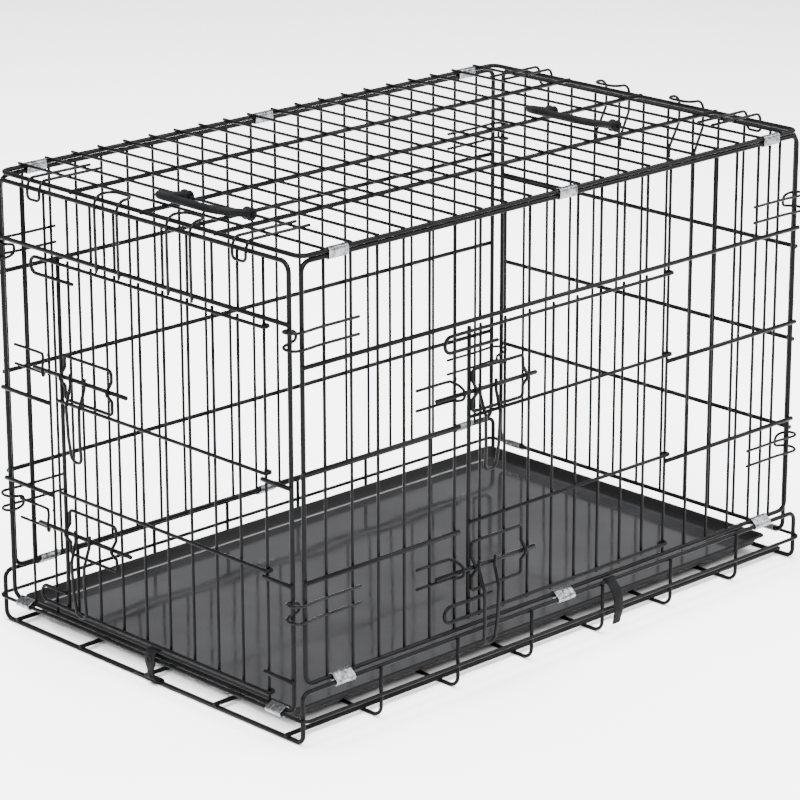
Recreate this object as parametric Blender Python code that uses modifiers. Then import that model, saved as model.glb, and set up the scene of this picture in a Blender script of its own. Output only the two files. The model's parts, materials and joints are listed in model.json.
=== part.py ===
"""Folding wire pet crate with a sliding tray, two latched doors, two carry handles and folding panels.
+X is the length, the left end with its door faces -X, the long front side with its door faces -Y, +Z is up."""

import math

import bmesh
import bpy
from mathutils import Matrix, Vector

# ---------------------------------------------------------------- driving dimensions, millimetres
MM = 0.001
R_FRAME = 2.5          # frame wire radius
R_FILL = 1.5           # fill wire radius
R_RAIL = 2.0           # door rails, mid rail and U wires
R_GUIDE = 1.8          # latch guide and drop handle wire
R_ROD = 2.4            # latch rod
GAP = 0.3              # running gap between touching pieces

SIDE_X = 373.0         # side and top panels, half length at the corner wire
SIDE_Y = 236.5         # side panels, half spacing
SIDE_Z0 = 61.5         # side panel bottom rail
SIDE_Z1 = 502.8        # side panel top rail
TOP_Z = 508.1          # top panel frame
CROSS_Z = 511.1        # top panel cross wires
TOP_LONG_Y = 114.0
END_X = 381.5          # end panel plane
END_Y = 228.0
END_Z0 = 31.0
END_Z1 = 498.0
BASE_X = 383.0
BASE_Y = 242.6
BASE_Z = 56.5
MID_Z = 28.2
U_Y = 246.2
U_Z = R_RAIL * math.cos(math.pi / 6)   # the floor wires rest on a flat
MID_X, MID_Y, MID_R = 387.0, 249.5, 9.5
LONG_Z = 5.8           # lengthwise floor wires
LONG_END = 386.5
WALL_CUT = 232.8        # where the floor grid ends and the long walls begin

PITCH_X = 36.19        # spacing of the upright fill wires of the long sides
PITCH_Y = 38.17        # spacing of the upright fill wires of the ends
FILL_X = [(k - 10.5) * PITCH_X for k in range(1, 21)]
FILL_Y = [(k - 6) * PITCH_Y for k in range(1, 12)]
CORNER_R = 11.0

SIDE_BARS = [172.0, 285.0, 397.0]
RIGHT_BARS = [156.5, 262.0, 371.0]
LEFT_TOP_BAR = 441.0

# front door
FD_HINGE = FILL_X[14]              # the fixed upright that the door curls turn on
FD_FIX = FILL_X[5]                 # the fixed upright beside the latches
FD_OUT = SIDE_Y + 4.0              # plane of the door rails
FD_RAILS = [74.5, 178.7, 294.0, 386.0]
FD_EDGE = -143.0
FD_TIP = -181.0
FD_STUBS = [172.0, 287.0]
FD_CUT = (-150.0, 157.0)           # ends of the stretches beside the doorway
# left end door
LD_HINGE = FILL_Y[0]
LD_FIX = FILL_Y[9]
LD_OUT = END_X + 4.0
LD_RAILS = [44.0, 175.7, 279.2, 431.0]
LD_EDGE = 131.5
LD_TIP = 173.0
LD_STUBS = [66.0, 169.0, 272.5]

ROD_OUT = 6.1          # rod axis outside the panel plane
HANDLE_OUT = ROD_OUT + R_ROD + GAP + R_GUIDE
# latches: rod height, guide bottom, guide top
FRONT_LATCH = [(322.0, 298.6, 344.0), (128.5, 102.0, 156.0)]
LEFT_LATCH = [(309.0, 283.8, 332.0), (134.0, 110.0, 160.0)]
FRONT_ROD = (-196.0, -49.0)
FRONT_GUIDE = (-141.4, -67.0)
FRONT_LEGS = (-136.8, -113.8)
LEFT_ROD = (171.0, 17.0)
LEFT_GUIDE = (121.0, 44.0)
LEFT_LEGS = (103.6, 80.6)

CLIP_X = [-325.7, 0.0, 325.7]
CLIP_Y = 204.6
CLIP_HALF = 13.0
CLIP_END_HALF = 11.4
CLIP_IN = 3.0
CLIP_OUT = 3.9

TRAY_X, TRAY_Y = 368.0, 225.0
TRAY_AT = (6.0, 14.5)
TRAY_DRAFT = 11.0
TRAY_Z0, TRAY_Z1 = 8.9, 23.5
TRAY_T = 2.0

CARRY_X = [FILL_X[1], FILL_X[16]]
CARRY_Y = (9.5, -87.5)
CARRY_LEN = 47.0
CARRY_TILT = math.radians(14.3)

SHIFT_X = 1.89         # puts the middle of the whole footprint on the origin
SHIFT_Y = 1.205

# ---------------------------------------------------------------- scene set-up
for ob in list(bpy.data.objects):
    bpy.data.objects.remove(ob, do_unlink=True)

PARTS = bpy.data.collections.new("folding_pet_crate")
CUTS = bpy.data.collections.new("crate_tools")
bpy.context.scene.collection.children.link(PARTS)
bpy.context.scene.collection.children.link(CUTS)


def material(name, colour, metal, rough):
    m = bpy.data.materials.new(name)
    m.use_nodes = True
    p = m.node_tree.nodes["Principled BSDF"]
    p.inputs["Base Color"].default_value = (*colour, 1.0)
    p.inputs["Metallic"].default_value = metal
    p.inputs["Roughness"].default_value = rough
    return m


KINDS = {
    "black_coated_wire": ((0.035, 0.035, 0.037), 0.0, 0.42),
    "bolt_wire": ((0.04, 0.04, 0.043), 0.0, 0.36),
    "hook_wire": ((0.03, 0.03, 0.032), 0.0, 0.4),
    "zinc_clip": ((0.55, 0.56, 0.58), 1.0, 0.42),
    "tray_plastic": ((0.045, 0.045, 0.048), 0.0, 0.4),
    "handle_plastic": ((0.05, 0.05, 0.054), 0.0, 0.5),
}


# ---------------------------------------------------------------- helpers
def fillet(points, radius, steps=3, closed=False):
    """Rounds the corners of a polyline with arcs."""
    pts = [Vector(p) for p in points]
    n = len(pts)
    out = []
    for i, p in enumerate(pts):
        if not closed and i in (0, n - 1):
            out.append(p)
            continue
        a, b = pts[i - 1] - p, pts[(i + 1) % n] - p
        la, lb = a.length, b.length
        a.normalize()
        b.normalize()
        ang = a.angle(b)
        if ang > math.radians(176):
            out.append(p)
            continue
        t = min(radius / math.tan(ang / 2), 0.48 * la, 0.48 * lb)
        r = t * math.tan(ang / 2)
        c = p + (a + b).normalized() * (r / math.sin(ang / 2))
        s, e = p + a * t - c, p + b * t - c
        sweep = s.angle(e)
        for k in range(steps + 1):
            f = k / steps
            v = (s * math.sin((1 - f) * sweep) + e * math.sin(f * sweep)) / math.sin(sweep)
            out.append(c + v)
    return out


def link(ob, coll):
    coll.objects.link(ob)
    return ob


def wires(name, lines, radius, sides=0):
    """One mesh made of several bent wires; each line is (points, closed)."""
    cu = bpy.data.curves.new(name, "CURVE")
    cu.dimensions = "3D"
    cu.fill_mode = "FULL"
    cu.bevel_depth = radius * MM
    cu.bevel_resolution = sides
    cu.use_fill_caps = True
    for pts, closed in lines:
        sp = cu.splines.new("POLY")
        sp.points.add(len(pts) - 1)
        for q, p in zip(sp.points, pts):
            q.co = (p[0] * MM, p[1] * MM, p[2] * MM, 1.0)
        sp.use_cyclic_u = closed
    tmp = link(bpy.data.objects.new(name + "_curve", cu), CUTS)
    dg = bpy.context.evaluated_depsgraph_get()
    me = bpy.data.meshes.new_from_object(tmp.evaluated_get(dg))
    me.name = name
    ob = bpy.data.objects.new(name, me)
    ob.matrix_world = tmp.matrix_world.copy()
    bpy.data.objects.remove(tmp, do_unlink=True)
    bm = bmesh.new()
    bm.from_mesh(me)
    bmesh.ops.remove_doubles(bm, verts=bm.verts, dist=1e-6)
    bmesh.ops.recalc_face_normals(bm, faces=bm.faces)
    bm.to_mesh(me)
    bm.free()
    return ob


def solid(name, bm):
    bmesh.ops.recalc_face_normals(bm, faces=bm.faces)
    me = bpy.data.meshes.new(name)
    bm.to_mesh(me)
    bm.free()
    return bpy.data.objects.new(name, me)


def plate(name, rings, half, axis, centre):
    """A flat outline with holes, given extrusion along an axis. Rings are lists of (u, v)."""
    cu = bpy.data.curves.new(name, "CURVE")
    cu.dimensions = "2D"
    cu.fill_mode = "BOTH"
    cu.extrude = half * MM
    for ring in rings:
        sp = cu.splines.new("POLY")
        sp.points.add(len(ring) - 1)
        for q, (u, v) in zip(sp.points, ring):
            q.co = (u * MM, v * MM, 0.0, 1.0)
        sp.use_cyclic_u = True
    tmp = link(bpy.data.objects.new(name + "_curve", cu), CUTS)
    dg = bpy.context.evaluated_depsgraph_get()
    me = bpy.data.meshes.new_from_object(tmp.evaluated_get(dg))
    me.name = name
    bpy.data.objects.remove(tmp, do_unlink=True)
    if axis == "x":      # u is y, v is z
        m = Matrix(((0, 0, 1), (1, 0, 0), (0, 1, 0))).to_4x4()
    else:                # axis y: u is x, v is z
        m = Matrix(((1, 0, 0), (0, 0, -1), (0, 1, 0))).to_4x4()
    me.transform(Matrix.Translation(Vector(centre) * MM) @ m)
    bm = bmesh.new()
    bm.from_mesh(me)
    bmesh.ops.remove_doubles(bm, verts=bm.verts, dist=1e-6)
    bmesh.ops.recalc_face_normals(bm, faces=bm.faces)
    bm.to_mesh(me)
    bm.free()
    return bpy.data.objects.new(name, me)


def combine(ob, tool, op="UNION"):
    if tool.name not in CUTS.objects:
        link(tool, CUTS)
    tool.hide_render = True
    tool.display_type = "WIRE"
    m = ob.modifiers.new(op.lower(), "BOOLEAN")
    m.operation = op
    m.solver = "EXACT"
    m.object = tool
    return ob


MADE = {}


def finish(ob, name, kind, pivot=(0.0, 0.0, 0.0)):
    """Names the piece, gives it its material and puts its origin on its joint axis."""
    ob.name = name
    ob.data.name = name
    colour, metal, rough = KINDS[kind]
    ob.data.materials.clear()
    ob.data.materials.append(material(name + "_" + kind, colour, metal, rough))
    piv = Vector(pivot) * MM
    ob.data.transform(Matrix.Translation(-piv))
    ob.location = piv
    if ob.name not in PARTS.objects:
        link(ob, PARTS)
    MADE[name] = ob
    return ob


def ring(cu, cv, radius, n, a0=0.0, a1=2 * math.pi, closed=True):
    cnt = n if closed else n + 1
    return [(cu + radius * math.cos(a0 + (a1 - a0) * k / n),
             cv + radius * math.sin(a0 + (a1 - a0) * k / n)) for k in range(cnt)]


def stadium(p, q, radius, n=5):
    """Outline round two parallel wires."""
    base = math.atan2(q[1] - p[1], q[0] - p[0])
    a = ring(q[0], q[1], radius, n, base - math.pi / 2, base + math.pi / 2, False)
    b = ring(p[0], p[1], radius, n, base + math.pi / 2, base + 3 * math.pi / 2, False)
    return a + b


# ---------------------------------------------------------------- base frame
def rounded_rect_x(y, x, z0, z1):
    return [(-x, y, z0), (x, y, z0), (x, y, z1), (-x, y, z1)]


def rounded_rect_y(x, y, z0, z1):
    return [(x, -y, z0), (x, y, z0), (x, y, z1), (x, -y, z1)]


def u_wire(x, s=0):
    """A floor wire that is bent up at both sides: the upright end at side s, or its flat middle."""
    if s == 0:
        return [(x, -WALL_CUT, U_Z), (x, WALL_CUT, U_Z)]
    return fillet([(x, s * U_Y, BASE_Z + 1.0), (x, s * U_Y, U_Z), (x, s * (WALL_CUT + GAP), U_Z)], 12.0, 4)


def build_base():
    """One welded basket, drawn as its two long walls, two end rails and floor grid."""
    u_x = [(k - 2.5) * 111.1 for k in range(6)]
    for s, tag in ((-1, "front"), (1, "back")):
        hoop = [(-BASE_X, s * (WALL_CUT + GAP), 2.5), (-BASE_X, s * BASE_Y, 2.5), (-BASE_X, s * BASE_Y, BASE_Z),
                (BASE_X, s * BASE_Y, BASE_Z), (BASE_X, s * BASE_Y, 2.5), (BASE_X, s * (WALL_CUT + GAP), 2.5)]
        ob = wires("base_wall", [(fillet(hoop, 9.0, 3), False)], R_FRAME)
        mid = [(-MID_X, s * (WALL_CUT + GAP), MID_Z), (-MID_X, s * MID_Y, MID_Z), (MID_X, s * MID_Y, MID_Z),
               (MID_X, s * (WALL_CUT + GAP), MID_Z)]
        combine(ob, wires("base_wall_mid_rail", [(fillet(mid, MID_R, 4), False)], R_RAIL))
        combine(ob, wires("base_wall_uprights", [(u_wire(x, s), False) for x in u_x], R_RAIL, 1))
        finish(ob, "base_%s_wall" % tag, "black_coated_wire")
    for s, tag in ((-1, "left"), (1, "right")):
        ob = wires("base_end_rail", [([(s * MID_X, -WALL_CUT, MID_Z), (s * MID_X, WALL_CUT, MID_Z)], False)], R_RAIL)
        finish(ob, "base_%s_rail" % tag, "black_coated_wire")
    ends = [([(x, -WALL_CUT, 2.5), (x, WALL_CUT, 2.5)], False) for x in (-BASE_X, BASE_X)]
    ob = wires("floor_ends", ends, R_FRAME)
    combine(ob, wires("floor_u_wires", [(u_wire(x), False) for x in u_x], R_RAIL, 1))
    longs = [([(-LONG_END, y, LONG_Z), (LONG_END, y, LONG_Z)], False) for y in (-220, -110, 0, 110, 220)]
    combine(ob, wires("floor_long_wires", longs, R_FRAME))
    finish(ob, "base_floor_grid", "black_coated_wire")


# ---------------------------------------------------------------- panels
def keeper_front(z, tip, out):
    """Two prongs welded on the fixed uprights, bent out above and below the bolt."""
    y = -(SIDE_Y + 2.0)
    o = -(SIDE_Y + out)
    up = [(-220.0, y, z + 16.0), (tip - 13.0, y, z + 16.0), (tip - 4.0, y - 3.6, z + 11.0), (tip, o + 1.6, z + 6.4), (tip, o, z + 4.9)]
    dn = [(-220.0, y, z - 5.4), (tip - 11.0, y, z - 5.4), (tip - 2.0, y - 5.5, z - 5.1), (tip, o, z - 4.9)]
    return [(fillet(up, 4.0, 1), False), (fillet(dn, 4.0, 1), False)]


def keeper_left(z, tip, out):
    x = -(END_X + 2.0)
    o = -(END_X + out)
    up = [(x, 197.0, z + 16.0), (x, tip + 13.0, z + 16.0), (x - 3.6, tip + 4.0, z + 11.0), (o + 1.6, tip, z + 6.4), (o, tip, z + 4.9)]
    dn = [(x, 197.0, z - 5.4), (x, tip + 11.0, z - 5.4), (x - 5.5, tip + 2.0, z - 5.1), (o, tip, z - 4.9)]
    return [(fillet(up, 4.0, 1), False), (fillet(dn, 4.0, 1), False)]


def build_back_side():
    y = SIDE_Y
    yb = y + 0.3
    ob = wires("side", [(fillet(rounded_rect_x(y, SIDE_X, SIDE_Z0, SIDE_Z1), CORNER_R, 3, True), True)], R_FRAME)
    tip = SIDE_X + 3.4
    combine(ob, wires("side_bars", [([(-tip, yb, z), (tip, yb, z)], False) for z in SIDE_BARS], R_FRAME))
    combine(ob, wires("side_fill", [([(x, y, SIDE_Z0), (x, y, SIDE_Z1)], False) for x in FILL_X], R_FILL, 0))
    finish(ob, "back_side_panel", "black_coated_wire", (0.0, y, SIDE_Z0))


def build_front_side():
    """One welded panel round a doorway, drawn as the stretches beside, above and below it."""
    y = -SIDE_Y
    yb = y - 0.3
    tip = SIDE_X + 3.4
    pivot = (0.0, y, SIDE_Z0)
    # beside the doorway: latch side and hinge side
    for s, cut, fix, tag in ((-1, FD_CUT[0], FD_FIX + 7.0, "latch"), (1, FD_CUT[1], FD_HINGE - 2.4, "hinge")):
        rim = [(cut, y, SIDE_Z0), (s * SIDE_X, y, SIDE_Z0), (s * SIDE_X, y, SIDE_Z1), (cut, y, SIDE_Z1)]
        ob = wires("side_rim", [(fillet(rim, CORNER_R, 3), False)], R_FRAME)
        bars = [([(s * tip, yb, SIDE_BARS[2]), (cut, yb, SIDE_BARS[2])], False)]
        bars += [([(s * tip, yb, z), (fix, yb, z)], False) for z in FD_STUBS]
        combine(ob, wires("side_stubs", bars, R_FRAME))
        ups = [([(x, y, SIDE_Z0), (x, y, SIDE_Z1)], False) for x in FILL_X if x * s > cut * s]
        combine(ob, wires("side_uprights", ups, R_FILL, 0))
        if s < 0:
            lines = []
            for z, _, _ in FRONT_LATCH:
                lines += keeper_front(z, -161.5, 12.4)
            combine(ob, wires("front_keepers", lines, R_FILL, 0))
        finish(ob, "front_side_%s_part" % tag, "black_coated_wire", pivot)
    # above the doorway
    a, b = FD_CUT[0] + GAP, FD_CUT[1] - GAP
    ob = wires("side_head", [([(a, y, SIDE_Z1), (b, y, SIDE_Z1)], False)], R_FRAME)
    combine(ob, wires("side_head_bar", [([(a, yb, SIDE_BARS[2]), (b, yb, SIDE_BARS[2])], False)], R_FRAME))
    ups = [([(x, y, SIDE_BARS[2]), (x, y, SIDE_Z1)], False) for x in FILL_X if a < x < b]
    combine(ob, wires("side_head_uprights", ups, R_FILL, 0))
    finish(ob, "front_side_top_part", "black_coated_wire", pivot)
    # below it
    ob = wires("side_sill", [([(a, y, SIDE_Z0), (b, y, SIDE_Z0)], False)], R_FRAME)
    finish(ob, "front_side_sill", "black_coated_wire", pivot)


def build_top():
    rect = [(-SIDE_X, -SIDE_Y, TOP_Z), (SIDE_X, -SIDE_Y, TOP_Z), (SIDE_X, SIDE_Y, TOP_Z), (-SIDE_X, SIDE_Y, TOP_Z)]
    ob = wires("top", [(fillet(rect, CORNER_R, 3, True), True)], R_FRAME)
    longs = [([(-SIDE_X - 4.5, y, TOP_Z + 0.4), (SIDE_X + 4.5, y, TOP_Z + 0.4)], False) for y in (-TOP_LONG_Y, 0.0, TOP_LONG_Y)]
    combine(ob, wires("top_long", longs, R_FRAME))
    cross = [([(x, -SIDE_Y - 2.2, CROSS_Z), (x, SIDE_Y + 5.5, CROSS_Z)], False) for x in FILL_X]
    combine(ob, wires("top_cross", cross, R_FILL, 0))
    return finish(ob, "top_panel", "black_coated_wire", (0.0, -SIDE_Y, SIDE_Z1))


def build_end(left):
    s = -1 if left else 1
    x = s * END_X
    xb = x + s * 0.3
    ob = wires("end", [(fillet(rounded_rect_y(x, END_Y, END_Z0, END_Z1), CORNER_R, 3, True), True)], R_FRAME)
    tip = END_Y + 3.4
    bars = []
    if left:
        bars.append(([(xb, -tip, LEFT_TOP_BAR), (xb, tip, LEFT_TOP_BAR)], False))
        for z in LD_STUBS:
            bars.append(([(xb, -tip, z), (xb, LD_HINGE + 2.4, z)], False))
            if z > 100:
                bars.append(([(xb, LD_FIX - 7.0, z), (xb, tip, z)], False))
    else:
        for z in RIGHT_BARS:
            bars.append(([(xb, -tip, z), (xb, tip, z)], False))
    combine(ob, wires("end_bars", bars, R_FRAME))
    ups = []
    for y in FILL_Y:
        low = LEFT_TOP_BAR if left and LD_HINGE + 1 < y < LD_FIX - 1 else END_Z0
        ups.append(([(x, y, low), (x, y, END_Z1)], False))
    combine(ob, wires("end_fill", ups, R_FILL, 0))
    if left:
        lines = []
        for z, _, _ in LEFT_LATCH:
            lines += keeper_left(z, 150.6, 12.4)
        combine(ob, wires("left_keepers", lines, R_FILL, 0))
    name = "left_end_panel" if left else "right_end_panel"
    return finish(ob, name, "black_coated_wire", (x, 0.0, END_Z0))


# ---------------------------------------------------------------- doors
def curl(cx, cy, r, a0, a1, z, steps=9):
    return [(cx + r * math.cos(a0 + (a1 - a0) * k / steps), cy + r * math.sin(a0 + (a1 - a0) * k / steps), z)
            for k in range(steps + 1)]


def hairpin(end, tip, z_rail, z_leg, r):
    """Points in (run, z): leg end, U-turn and back onto the rail."""
    zc = 0.5 * (z_rail + z_leg)
    h = abs(z_rail - z_leg) / 2
    sgn = -1.0 if tip < end else 1.0
    pts = [(end, z_leg)]
    for k in range(5):
        a = math.pi * k / 4
        pts.append((tip - sgn * h + sgn * h * math.sin(a), zc + (z_leg - zc) * math.cos(a)))
    return pts


def build_front_door():
    y = -FD_OUT
    rails = []
    for i, z in enumerate(FD_RAILS):
        c = curl(FD_HINGE, -SIDE_Y, 4.0, -math.pi / 2, math.radians(165), z)
        if i == 3:
            head = [(u, y, w) for u, w in hairpin(-104.0, FD_TIP, z, 368.5, 0)]
        elif i == 0:
            head = [(u, y, w) for u, w in hairpin(-110.0, FD_TIP, z, 92.0, 0)]
        else:
            head = [(FD_EDGE - 2.6, y, z)]
        rails.append((head + c, False))
    ob = wires("front_door", rails, R_RAIL)
    combine(ob, wires("front_door_edge", [([(FD_EDGE, y + 3.4, 69.5), (FD_EDGE, y + 3.4, 390.5)], False)], 2.3))
    fills = [([(x, y + 2.6, 69.5), (x, y + 2.6, 390.5)], False) for x in FILL_X if FD_FIX + 1 < x < FD_HINGE - 1]
    combine(ob, wires("front_door_fill", fills, R_FILL, 0))
    lines = []
    for z, g0, g1 in FRONT_LATCH:
        a, b = FRONT_GUIDE
        yi, yo = y + 0.1, -(SIDE_Y + HANDLE_OUT + 1.5)
        frame = [(a, yi, g0), (b, yi, g0), (b, yi, z - 10.5), (b, yo, z), (b, yi, z + 10.5), (b, yi, g1), (a, yi, g1),
                 (a, yi, z + 10.5), (a, yo, z), (a, yi, z - 10.5)]
        lines.append((fillet(frame, 4.0, 2, True), True))
    combine(ob, wires("front_door_guides", lines, R_GUIDE))
    return finish(ob, "front_door", "black_coated_wire", (FD_HINGE, -SIDE_Y, 0.0))


def build_left_door():
    x = -LD_OUT
    rails = []
    for i, z in enumerate(LD_RAILS):
        c = [(-END_X + 4.0 * math.cos(a), LD_HINGE + 4.0 * math.sin(a), z)
             for a in [math.pi + (math.radians(345) - math.pi) * 0 + k * math.radians(255) / 9 for k in range(10)]]
        if i == 3:
            head = [(x, u, w) for u, w in hairpin(103.0, LD_TIP, z, 413.0, 0)]
        elif i == 0:
            head = [(x, u, w) for u, w in hairpin(131.0, LD_TIP, z, 61.5, 0)]
        else:
            head = [(x, LD_EDGE + 2.6, z)]
        rails.append((head + c, False))
    ob = wires("left_door", rails, R_RAIL)
    combine(ob, wires("left_door_edge", [([(x + 3.4, LD_EDGE, 39.5), (x + 3.4, LD_EDGE, 435.5)], False)], 2.3))
    fills = [([(x + 2.6, y, 39.5), (x + 2.6, y, 435.5)], False) for y in FILL_Y if LD_HINGE + 1 < y < LD_FIX - 1]
    combine(ob, wires("left_door_fill", fills, R_FILL, 0))
    lines = []
    for z, g0, g1 in LEFT_LATCH:
        a, b = LEFT_GUIDE
        xi, xo = x + 0.1, -(END_X + HANDLE_OUT + 1.5)
        frame = [(xi, a, g0), (xi, b, g0), (xi, b, z - 10.5), (xo, b, z), (xi, b, z + 10.5), (xi, b, g1), (xi, a, g1),
                 (xi, a, z + 10.5), (xo, a, z), (xi, a, z - 10.5)]
        lines.append((fillet(frame, 4.0, 2, True), True))
    combine(ob, wires("left_door_guides", lines, R_GUIDE))
    return finish(ob, "left_door", "black_coated_wire", (-END_X, LD_HINGE, 0.0))


# ---------------------------------------------------------------- latch rods and drop handles
def handle_line(l0, l1, z):
    """Points in (run, z) of the U drop handle: tips above the rod, legs drawing together, U at the bottom."""
    m = 0.5 * (l0 + l1)
    s = 1.0 if l0 > l1 else -1.0
    pts = [(l0 + s * 0.6, z + 8.0), (l0, z - 4.0), (m + s * 10.6, z - 26.0), (m + s * 9.4, z - 60.0), (m + s * 8.0, z - 86.5),
           (m - s * 8.0, z - 86.5), (m - s * 9.4, z - 60.0), (m - s * 10.6, z - 26.0), (l1, z - 4.0), (l1 - s * 0.6, z + 8.0)]
    return pts


def build_latches():
    for tag, (z, _, _) in zip(("upper", "lower"), FRONT_LATCH):
        y = -(SIDE_Y + ROD_OUT)
        rod = wires("rod", [([(FRONT_ROD[0], y, z), (FRONT_ROD[1], y, z)], False)], R_ROD, 2)
        finish(rod, "front_" + tag + "_rod", "bolt_wire", (FRONT_ROD[0], y, z))
        yh = -(SIDE_Y + HANDLE_OUT)
        pts = [Vector((u, yh, w)) for u, w in handle_line(*FRONT_LEGS, z)]
        h = wires("handle", [(fillet(pts, 7.5, 3), False)], R_GUIDE, 1)
        finish(h, "front_" + tag + "_handle", "bolt_wire", (FRONT_LEGS[0], y, z))
    for tag, (z, _, _) in zip(("upper", "lower"), LEFT_LATCH):
        x = -(END_X + ROD_OUT)
        rod = wires("rod", [([(x, LEFT_ROD[0], z), (x, LEFT_ROD[1], z)], False)], R_ROD, 2)
        finish(rod, "left_" + tag + "_rod", "bolt_wire", (x, LEFT_ROD[0], z))
        xh = -(END_X + HANDLE_OUT)
        pts = [Vector((xh, u, w)) for u, w in handle_line(*LEFT_LEGS, z)]
        h = wires("handle", [(fillet(pts, 7.5, 3), False)], R_GUIDE, 1)
        finish(h, "left_" + tag + "_handle", "bolt_wire", (x, LEFT_LEGS[0], z))


# ---------------------------------------------------------------- clips
def build_clips():
    for side, s in (("front", -1), ("back", 1)):
        for k, x in enumerate(CLIP_X):
            p, q = (s * BASE_Y, BASE_Z), (s * SIDE_Y, SIDE_Z0)
            ob = plate("clip", [stadium(p, q, CLIP_OUT), stadium(p, q, CLIP_IN)], CLIP_HALF, "x", (x, 0, 0))
            finish(ob, "base_clip_%s_%d" % (side, k + 1), "zinc_clip", (x, s * BASE_Y, BASE_Z))
            p, q = (s * SIDE_Y, SIDE_Z1), (s * SIDE_Y, TOP_Z)
            ob = plate("clip", [stadium(p, q, CLIP_OUT), stadium(p, q, CLIP_IN)], CLIP_HALF, "x", (x, 0, 0))
            finish(ob, "top_clip_%s_%d" % (side, k + 1), "zinc_clip", (x, s * SIDE_Y, TOP_Z))
    for side, s in (("left", -1), ("right", 1)):
        for k, y in enumerate((-CLIP_Y, CLIP_Y)):
            p, q = (s * MID_X, MID_Z), (s * END_X, END_Z0)
            ob = plate("clip", [stadium(p, q, CLIP_OUT), stadium(p, q, CLIP_IN)], CLIP_END_HALF, "y", (0, y, 0))
            finish(ob, "end_clip_%s_%d" % (side, k + 1), "zinc_clip", (s * MID_X, y, MID_Z))


# ---------------------------------------------------------------- hooks and spring loops
def build_hooks():
    for sx, xn in ((-1, "left"), (1, "right")):
        for sy, yn in ((-1, "front"), (1, "back")):
            for tag, z1, z2 in (("upper", 434.0, 416.0), ("lower", 149.8, 131.8)):
                half = [(299.0, 239.8, z1), (352.0, 239.8, z1), (366.0, 241.1, z1), (380.0, 241.6, z1), (386.4, 237.6, z1),
                        (388.8, 231.0, z1 - 0.4), (386.8, 224.8, z1 - 0.9), (380.5, 221.6, z1 - 1.6), (373.0, 221.8, z1 - 3.2),
                        (369.0, 222.8, z1 - 6.0)]
                pts = [(sx * a, sy * b, c) for a, b, c in half]
                pts += [(sx * a, sy * b, z1 + z2 - c) for a, b, c in reversed(half)]
                ob = wires("hook", [(pts, False)], R_FILL, 0)
                finish(ob, "corner_hook_%s_%s_%s" % (xn, yn, tag), "hook_wire", (sx * 299.0, sy * 239.8, z1))
        for tag, ya, yb in (("a", -172.0, -152.0), ("b", 152.0, 172.0)):
            z = CROSS_Z + R_FILL + GAP + R_FILL
            pts = [(sx * 302.0, ya, z), (sx * 383.5, ya, z), (sx * 387.2, ya, 502.0), (sx * 387.2, ya, 491.0),
                   (sx * 387.2, yb, 491.0), (sx * 387.2, yb, 502.0), (sx * 383.5, yb, z), (sx * 302.0, yb, z)]
            ob = wires("top_hook", [(fillet(pts, 7.0, 2), False)], R_FILL, 0)
            finish(ob, "top_hook_%s_%s" % (xn, tag), "hook_wire", (sx * 302.0, ya, z))
        for tag, ya, yb in (("a", -87.0, -51.0), ("b", 27.0, 63.0)):
            xo = sx * (END_X + R_FRAME + GAP + R_FILL)
            pts = [(xo, ya, 458.0), (xo, ya, 516.0), (sx * 363.0, ya, 516.0), (sx * 363.0, yb, 516.0), (xo, yb, 516.0), (xo, yb, 458.0)]
            ob = wires("spring_loop", [(fillet(pts, 11.0, 3), False)], R_FILL, 0)
            finish(ob, "end_spring_loop_%s_%s" % (xn, tag), "hook_wire", (xo, ya, 458.0))


# ---------------------------------------------------------------- tray
def build_tray():
    bm = bmesh.new()
    bmesh.ops.create_cube(bm, size=1.0)
    h = TRAY_Z1 - TRAY_T - TRAY_Z0
    bmesh.ops.scale(bm, vec=(2 * (TRAY_X - 6.0), 2 * (TRAY_Y - 6.0), h), verts=bm.verts)
    bmesh.ops.translate(bm, vec=(0, 0, TRAY_Z0 + h / 2), verts=bm.verts)
    ups = [e for e in bm.edges if abs(e.verts[0].co.z - e.verts[1].co.z) > 1.0]
    bmesh.ops.bevel(bm, geom=ups, offset=26.0, segments=5, profile=0.5, affect="EDGES")
    for v in bm.verts:
        if v.co.z < TRAY_Z0 + 1.0:
            v.co.x *= (TRAY_X - TRAY_DRAFT) / (TRAY_X - 6.0)
            v.co.y *= (TRAY_Y - TRAY_DRAFT) / (TRAY_Y - 6.0)
    lid = max(bm.faces, key=lambda f: f.calc_center_median().z)
    bmesh.ops.delete(bm, geom=[lid], context="FACES_ONLY")
    rim = [e for e in bm.edges if len(e.link_faces) == 1]
    ext = bmesh.ops.extrude_edge_only(bm, edges=rim)
    for v in [g for g in ext["geom"] if isinstance(g, bmesh.types.BMVert)]:
        v.co.x *= TRAY_X / (TRAY_X - 6.0)
        v.co.y *= TRAY_Y / (TRAY_Y - 6.0)
    bmesh.ops.translate(bm, vec=(TRAY_AT[0], TRAY_AT[1], 0), verts=bm.verts)
    bmesh.ops.scale(bm, vec=(MM, MM, MM), verts=bm.verts)
    ob = solid("tray", bm)
    link(ob, PARTS)
    m = ob.modifiers.new("wall", "SOLIDIFY")
    m.thickness = TRAY_T * MM
    m.offset = 1.0
    m.use_even_offset = True
    me = ob.data
    up = [p for p in me.polygons if abs(p.normal.z) > 0.9 and p.center.z < (TRAY_Z0 + 1.0) * MM]
    if up and up[0].normal.z < 0:
        me.flip_normals()
    return finish(ob, "tray", "tray_plastic", (TRAY_AT[0], TRAY_AT[1], TRAY_Z0))


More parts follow.
